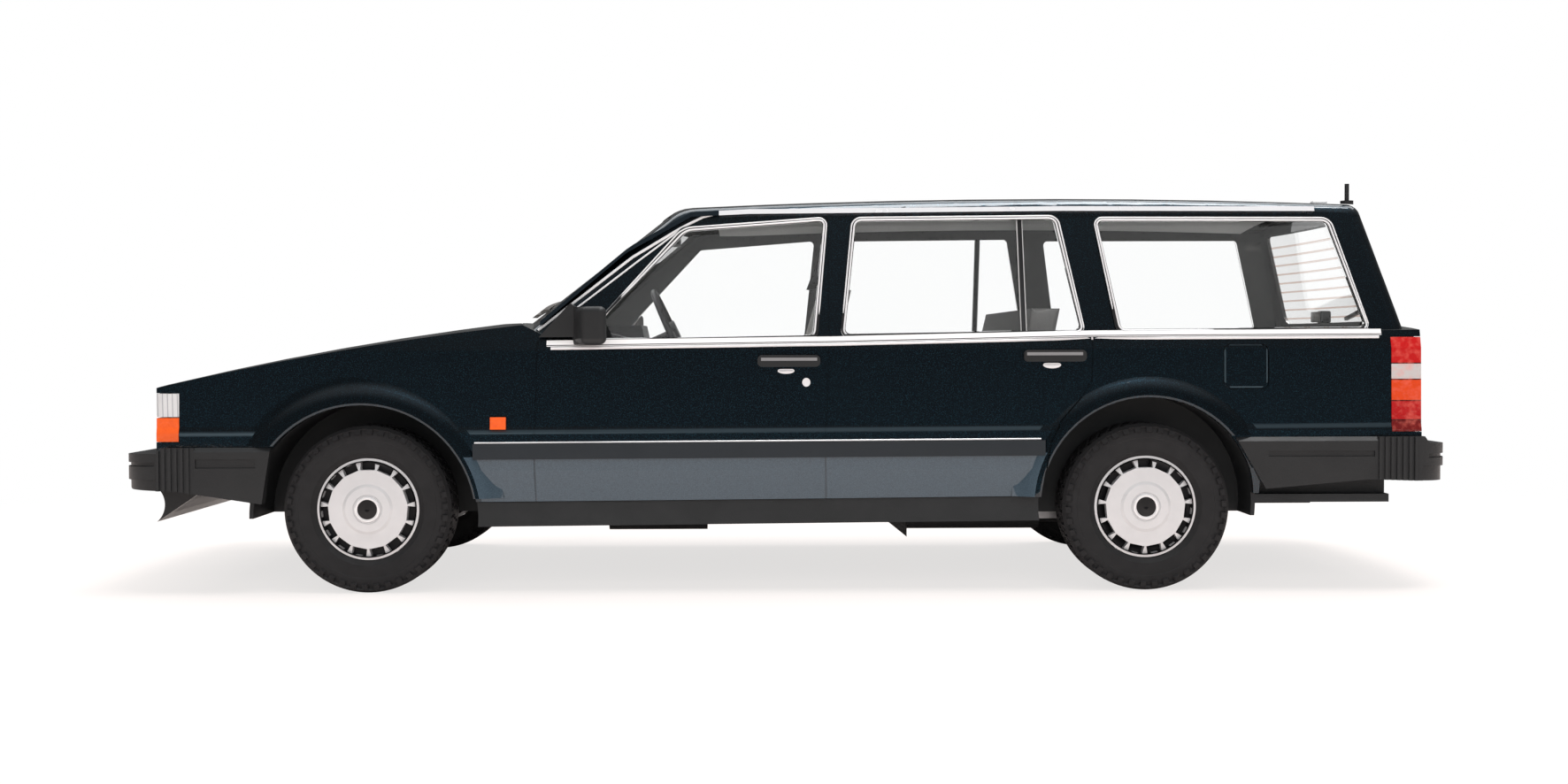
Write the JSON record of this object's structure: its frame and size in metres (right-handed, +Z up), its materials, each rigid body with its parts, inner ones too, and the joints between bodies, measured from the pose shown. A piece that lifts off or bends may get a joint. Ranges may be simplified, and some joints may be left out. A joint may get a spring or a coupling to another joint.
{
  "type": "die-cast scale model station wagon",
  "caption": "Scale model of an estate car with a cast hollow body, glazed cabin, seats, free-rolling wheels and steering front wheels.",
  "frame": {"origin": "middle of the overall length and width, on the plane that the tyres stand on", "axes": "+X towards the tail, so the nose points to -X; +Y towards the car's right side; +Z up"},
  "size_m": [0.266, 0.1098, 0.0813],
  "materials": {
    "paint": "gloss metallic lacquer on zinc",
    "satin_black": "satin moulded",
    "chassis_black": "matt moulded",
    "bright": "satin plated",
    "wheel_silver": "silver lacquer",
    "tyre_rubber": "matt",
    "clear": "clear moulded",
    "amber": "clear moulded",
    "red": "clear moulded",
    "reflector": "vacuum plated",
    "cabin_grey": "matt moulded",
    "cabin_black": "matt moulded",
    "seat_grey": "matt moulded",
    "steel": "turned"
  },
  "bodies": {
    "root": {"body_shell": "paint", "front_bumper": "satin_black", "rear_bumper": "satin_black", "front_spoiler": "satin_black", "door_handles": "satin_black", "wipers": "satin_black", "aerial": "satin_black", "rub_strip_left": "satin_black", "rub_strip_right": "satin_black", "door_mirror_left": "satin_black", "door_mirror_right": "satin_black", "base_plate": "chassis_black", "front_crossmember": "chassis_black", "window_trim_left": "bright", "window_trim_right": "bright", "drip_rail_left": "bright", "drip_rail_right": "bright", "grille": "bright", "side_glass_left": "clear", "side_glass_right": "clear", "windscreen": "clear", "tailgate_glass": "clear", "headlamp_left": "clear", "headlamp_right": "clear", "side_lamps": "clear", "front_indicators": "amber", "side_repeaters": "amber", "tail_lamp_left": "red", "tail_lamp_right": "red", "headlamp_bowls": "reflector", "interior_tub": "cabin_grey", "roof_lining": "cabin_grey", "dashboard": "cabin_black", "steering_wheel": "cabin_black", "interior_mirror": "cabin_black", "front_seat_left": "seat_grey", "front_seat_right": "seat_grey", "rear_bench": "seat_grey", "rear_axle": "steel", "exhaust": "steel"},
    "steering_knuckle_left": {"knuckle_left": "chassis_black"},
    "steering_knuckle_right": {"knuckle_right": "chassis_black"},
    "steering_rod": {"track_rod": "steel"},
    "front_wheel_left": {"wheel_front_left": "wheel_silver", "tyre_front_left": "tyre_rubber"},
    "front_wheel_right": {"wheel_front_right": "wheel_silver", "tyre_front_right": "tyre_rubber"},
    "rear_wheel_left": {"wheel_rear_left": "wheel_silver", "tyre_rear_left": "tyre_rubber"},
    "rear_wheel_right": {"wheel_rear_right": "wheel_silver", "tyre_rear_right": "tyre_rubber"}
  },
  "joints": [
    {"name": "steer_left", "type": "hinge", "parent": "root", "child": "steering_knuckle_left", "pos_m": [-0.083, -0.0358, 0.0166], "axis": [0, 0, 1], "range_deg": [-25, 25]},
    {"name": "steer_right", "type": "hinge", "parent": "root", "child": "steering_knuckle_right", "pos_m": [-0.083, 0.0358, 0.0166], "axis": [0, 0, 1], "range_deg": [-25, 25]},
    {"name": "steer_rod", "type": "hinge", "parent": "steering_knuckle_left", "child": "steering_rod", "pos_m": [-0.0766, -0.0358, 0.0134], "axis": [0, 0, 1], "range_deg": [-25, 25]},
    {"name": "spin_front_left", "type": "hinge", "parent": "steering_knuckle_left", "child": "front_wheel_left", "pos_m": [-0.083, -0.0407, 0.0166], "axis": [0, 1, 0], "continuous": true},
    {"name": "spin_front_right", "type": "hinge", "parent": "steering_knuckle_right", "child": "front_wheel_right", "pos_m": [-0.083, 0.0407, 0.0166], "axis": [0, 1, 0], "continuous": true},
    {"name": "spin_rear_left", "type": "hinge", "parent": "root", "child": "rear_wheel_left", "pos_m": [0.0709, -0.0407, 0.0166], "axis": [0, 1, 0], "continuous": true},
    {"name": "spin_rear_right", "type": "hinge", "parent": "root", "child": "rear_wheel_right", "pos_m": [0.0709, 0.0407, 0.0166], "axis": [0, 1, 0], "continuous": true}
  ],
  "couplings": [
    {"joint": "steer_right", "follows": "steer_left", "ratio": 1},
    {"joint": "steer_rod", "follows": "steer_left", "ratio": -1}
  ]
}
